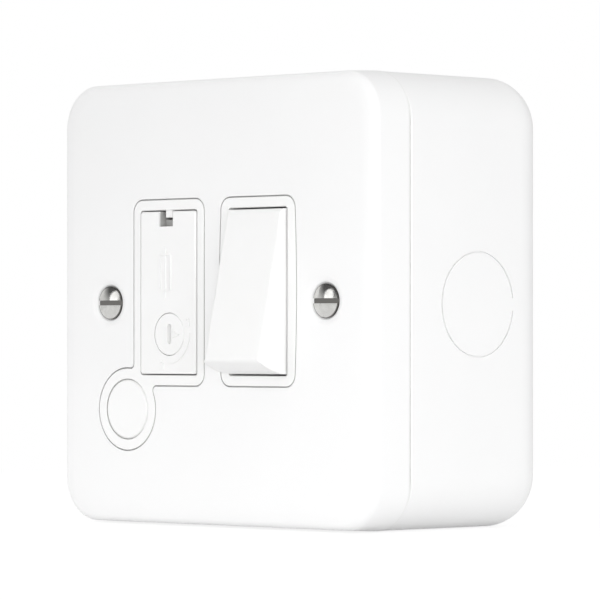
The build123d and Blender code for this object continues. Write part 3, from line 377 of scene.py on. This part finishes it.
def sweptBar(shape, centre, radius, start, turn, front, steps):
    # square stroke spun about the depth axis through a point on the face
    half = markLook["stroke"] / 2
    near, far = front - markLook["rise"], front + markLook["sink"]
    turnTo = Matrix.Rotation(radians(-start), 3, "Y")
    corners = [(radius - half, near), (radius + half, near), (radius + half, far), (radius - half, far)]
    ring = [shape.verts.new(turnTo @ Vector((r, 0, 0)) + Vector((centre[0], y, centre[1])))
            for r, y in corners]
    face = shape.faces.new(ring)
    bmesh.ops.spin(shape, geom=[face, *face.edges, *face.verts], cent=(centre[0], 0, centre[1]),
                   axis=(0, 1, 0), angle=radians(-turn), steps=steps)


def padlock(shape, place, swing):
    x, z = place
    width, height = lockSign["bodySize"]
    raisedBar(shape, x, z, width, height, carrierFront)
    sweptBar(shape, (x, z + height / 2), lockSign["shackle"], swing, 180 - swing, carrierFront,
             lockSign["shackleSteps"])


def softenMarks(shape):
    bmesh.ops.remove_doubles(shape, verts=shape.verts, dist=markLook["weld"])
    sharp = [e for e in shape.edges
             if len(e.link_faces) == 2 and e.calc_face_angle() > radians(markLook["sharpAngle"])]
    bmesh.ops.bevel(shape, geom=sharp, offset=markLook["round"], affect="EDGES", segments=1,
                    profile=0.5, material=-1, clamp_overlap=True)


sign = bmesh.new()
stroke = markLook["stroke"]
boxHeight = fuseSign["boxTop"] - fuseSign["boxBottom"]
raisedFrame(sign, fuseSign["x"], fuseSign["boxBottom"] + boxHeight / 2, fuseSign["boxWidth"], boxHeight,
            stroke, carrierFront)
# the wire through the box, in three lengths that meet the box's bars
wire = [(fuseSign["bottom"], fuseSign["boxBottom"] - stroke / 2),
        (fuseSign["boxBottom"] + stroke / 2, fuseSign["boxTop"] - stroke / 2),
        (fuseSign["boxTop"] + stroke / 2, fuseSign["top"])]
for low, high in wire:
    raisedBar(sign, fuseSign["x"], (low + high) / 2, stroke, high - low, carrierFront)
softenMarks(sign)
finishPiece("fuseSymbol", sign, urea, "fuse_carrier")

sign = bmesh.new()
padlock(sign, lockSign["closedAt"], 0)
padlock(sign, lockSign["openAt"], lockSign["openSwing"])
sweptBar(sign, (lockSign["x"], lockSign["z"]), lockSign["arcRadius"], lockSign["arcStart"],
         lockSign["arcTurn"], carrierFront, lockSign["arcSteps"])
softenMarks(sign)
finishPiece("lockMarks", sign, urea, "fuse_carrier")

# arrowhead on the lock's disc: two strokes that meet on the closed padlock's side
sign = bmesh.new()
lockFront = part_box("fuse_lock")[0].y
slope = arrowSign["width"] / 2 / arrowSign["length"]
for way in (-1, 1):
    bar = raisedBar(sign, 0, 0, arrowSign["length"], arrowSign["stroke"], lockFront)
    turn = Matrix.Rotation(way * atan(slope), 4, "Y")
    middle = Vector((lockSign["x"] + arrowSign["inner"] + arrowSign["length"] / 2, 0,
                     lockSign["z"] + way * arrowSign["width"] / 4))
    bmesh.ops.transform(sign, matrix=Matrix.Translation(middle) @ turn, verts=bar)
softenMarks(sign)
finishPiece("lockArrow", sign, urea, "fuse_lock")
print("marks raised on the carrier")


# camera at the photograph's level, a long lens to the right of the front
cameraSetup = {"place": (0.5960, -0.62785, -0.0082), "yaw": 44.7, "lens": 255.3,
               "shiftX": 0.0015, "shiftY": 0.0731, "near": 0.01, "far": 20}
cameraData = bpy.data.cameras.new("camera")
cameraData.lens = cameraSetup["lens"]
cameraData.shift_x = cameraSetup["shiftX"]
cameraData.shift_y = cameraSetup["shiftY"]
cameraData.clip_start = cameraSetup["near"]
cameraData.clip_end = cameraSetup["far"]
camera = bpy.data.objects.new("camera", cameraData)
camera.location = cameraSetup["place"]
camera.rotation_euler = (pi / 2, 0, radians(cameraSetup["yaw"]))
bpy.context.scene.collection.objects.link(camera)
bpy.context.scene.camera = camera


def seenRays(tree):
    # 1 for rays from the camera, and 1 for those and rays by way of a mirror or glass
    rays = addNode(tree, "ShaderNodeLightPath", {})
    mirrored = addNode(tree, "ShaderNodeMath", {"operation": "MAXIMUM"},
                       {0: rays.outputs["Is Camera Ray"], 1: rays.outputs["Is Glossy Ray"]})
    seen = addNode(tree, "ShaderNodeMath", {"operation": "MAXIMUM"},
                   {0: mirrored.outputs[0], 1: rays.outputs["Is Transmission Ray"]})
    return rays.outputs["Is Camera Ray"], seen.outputs[0]


# pale floor under the unit; the camera sees it almost white, with a trace of the shadow
floorSetup = {"size": 0.3, "drop": 0.1 * mm, "paint": "#F2F2F2", "whiteShare": 0.75, "white": 1.12}
floorShape = bmesh.new()
bmesh.ops.create_grid(floorShape, x_segments=1, y_segments=1, size=floorSetup["size"])
bmesh.ops.translate(floorShape, vec=(0, 0, cadBox[0].z - floorSetup["drop"]), verts=floorShape.verts)
floorMesh = bpy.data.meshes.new("floor")
floorShape.to_mesh(floorMesh)
floorShape.free()
floor = bpy.data.objects.new("floor", floorMesh)
bpy.context.scene.collection.objects.link(floor)

floorPaint = {"Roughness": 0.9, "Base Color": linear(floorSetup["paint"])}
floorMaterial, tree, bsdf, place = startMaterial("paleFloor", floorPaint)
fromCamera, seen = seenRays(tree)
share = addNode(tree, "ShaderNodeMath", {"operation": "MULTIPLY", 1: floorSetup["whiteShare"]}, {0: seen})
white = addNode(tree, "ShaderNodeEmission", {"Color": (1, 1, 1, 1), "Strength": floorSetup["white"]})
mixed = addNode(tree, "ShaderNodeMixShader", {},
                {0: share.outputs[0], 1: bsdf.outputs[0], 2: white.outputs[0]})
plugIn(tree, tree.nodes["Material Output"], {"Surface": mixed.outputs[0]})
floorMesh.materials.append(floorMaterial)

# plain studio: soft pale surround that dims behind and below; the camera sees it white,
# and the screws mirror it with a dark ceiling in front
worldSetup = {"surround": "#FFFFFF", "strength": 0.925, "behind": 0.7, "fadeFrom": -0.15, "fadeTo": 0.25,
              "below": 0.1, "horizon": (-0.05, 0.0), "ceiling": 0.12, "ceilingAt": (-0.3, -0.6, 0.74),
              "ceilingFrom": 0.62, "ceilingTo": 0.85}
world = bpy.data.worlds.new("studio")
world.use_nodes = True
bpy.context.scene.world = world
tree = world.node_tree
tree.nodes.clear()
fromCamera, seen = seenRays(tree)
direction = addNode(tree, "ShaderNodeTexCoord", {}).outputs["Generated"]
axes = addNode(tree, "ShaderNodeSeparateXYZ", {}, {0: direction})
fade = addNode(tree, "ShaderNodeMapRange",
               {"From Min": worldSetup["fadeFrom"], "From Max": worldSetup["fadeTo"],
                "To Min": worldSetup["strength"], "To Max": worldSetup["behind"]},
               {"Value": axes.outputs["Y"]})
under = addNode(tree, "ShaderNodeMapRange",
                {"From Min": worldSetup["horizon"][0], "From Max": worldSetup["horizon"][1],
                 "To Min": worldSetup["below"], "To Max": 1.0},
                {"Value": axes.outputs["Z"]})
glow = addNode(tree, "ShaderNodeMath", {"operation": "MULTIPLY"},
               {0: fade.outputs["Result"], 1: under.outputs["Result"]})
surround = addNode(tree, "ShaderNodeBackground", {"Color": linear(worldSetup["surround"])},
                   {"Strength": glow.outputs[0]})
toCeiling = addNode(tree, "ShaderNodeVectorMath", {"operation": "DOT_PRODUCT", 1: worldSetup["ceilingAt"]},
                    {0: direction})
dim = addNode(tree, "ShaderNodeMapRange",
              {"From Min": worldSetup["ceilingFrom"], "From Max": worldSetup["ceilingTo"],
               "To Min": 1.0, "To Max": worldSetup["ceiling"]},
              {"Value": toCeiling.outputs["Value"]})
mirrored = addNode(tree, "ShaderNodeMath", {"operation": "MULTIPLY"},
                   {0: dim.outputs["Result"], 1: fade.outputs["Result"]})
level = addNode(tree, "ShaderNodeMath", {"operation": "MAXIMUM"},
                {0: fromCamera, 1: mirrored.outputs[0]})
backdrop = addNode(tree, "ShaderNodeBackground", {"Color": (1, 1, 1, 1)}, {"Strength": level.outputs[0]})
mixed = addNode(tree, "ShaderNodeMixShader", {}, {0: seen, 1: surround.outputs[0], 2: backdrop.outputs[0]})
addNode(tree, "ShaderNodeOutputWorld", {}, {"Surface": mixed.outputs[0]})

# round soft panels that face the unit
panelAim = Vector((0, -0.025, 0))
panels = {
    "windowPanel": {"place": (-0.94, -2.05, 0.48), "size": 1.2, "power": 5.0},
    "sidePanel": {"place": (0.5, -0.19, -0.01), "size": 0.25, "power": 0.62},
    "lowPanel": {"place": (0.34, -0.34, -0.03), "size": 0.14, "power": 0.35},
}
for name, panel in panels.items():
    data = bpy.data.lights.new(name, "AREA")
    data.shape = "DISK"
    data.size = panel["size"]
    data.energy = panel["power"]
    lamp = bpy.data.objects.new(name, data)
    lamp.location = panel["place"]
    lamp.rotation_euler = (panelAim - lamp.location).to_track_quat("-Z", "Y").to_euler()
    bpy.context.scene.collection.objects.link(lamp)

bpy.context.scene.view_settings.view_transform = "Standard"
print("camera, floor and", len(panels), "panels set")
